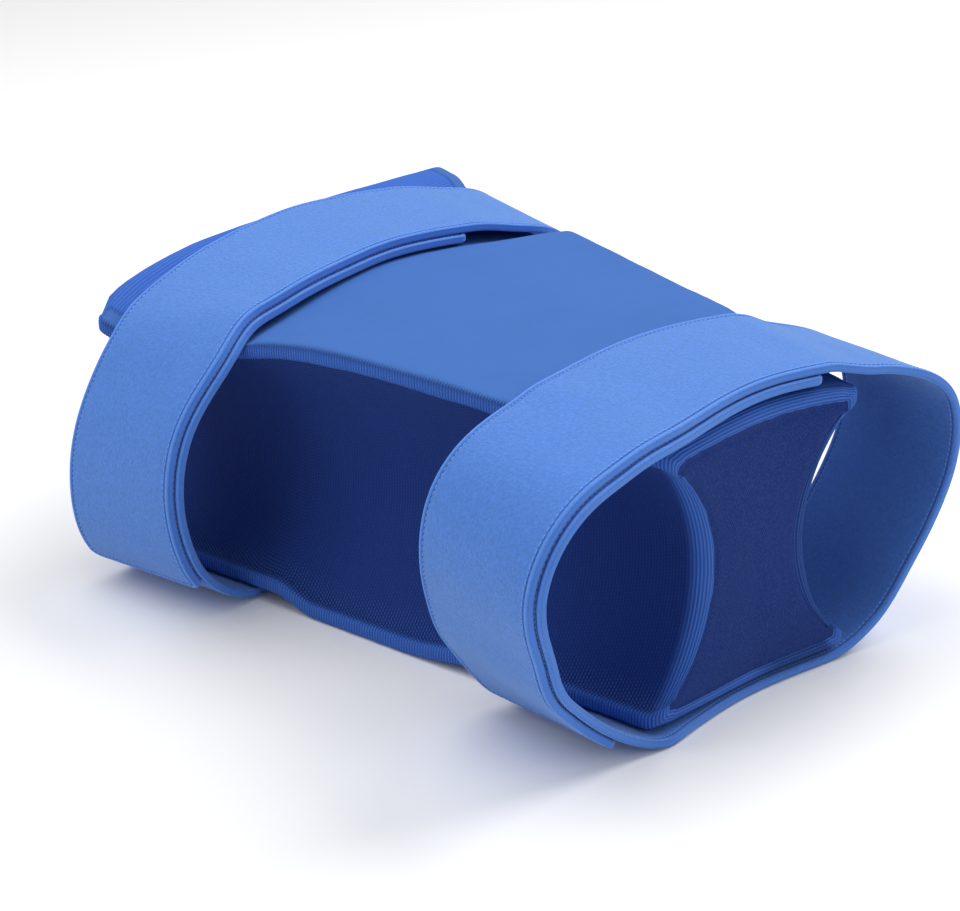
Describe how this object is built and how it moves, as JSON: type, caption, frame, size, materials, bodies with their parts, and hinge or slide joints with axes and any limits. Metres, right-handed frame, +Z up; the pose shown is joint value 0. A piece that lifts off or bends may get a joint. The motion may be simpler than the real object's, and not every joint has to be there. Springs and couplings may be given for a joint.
{
  "type": "hip abduction pillow",
  "caption": "Firm foam wedge that keeps the legs apart, with a hollow along each side and soft wrap bands that hold open leg loops either side.",
  "frame": {"origin": "on the floor under the middle of the wedge, on its flat underside between the bands", "axes": "+X towards the narrow end, which lies at the top of the thighs; -Y the near side, +Y the far side; +Z up"},
  "size_m": [0.5023, 0.4409, 0.2146],
  "materials": {
    "pillow_cover": "taut ribbed knit, royal blue, matt with a faint sheen",
    "calf_band_cloth": "brushed loop laminate, bright blue, soft nap",
    "thigh_band_cloth": "brushed loop laminate, bright blue, soft nap"
  },
  "bodies": {
    "root": {"pillow": "pillow_cover", "calf_strap": "calf_band_cloth", "thigh_strap": "thigh_band_cloth"}
  },
  "joints": []
}
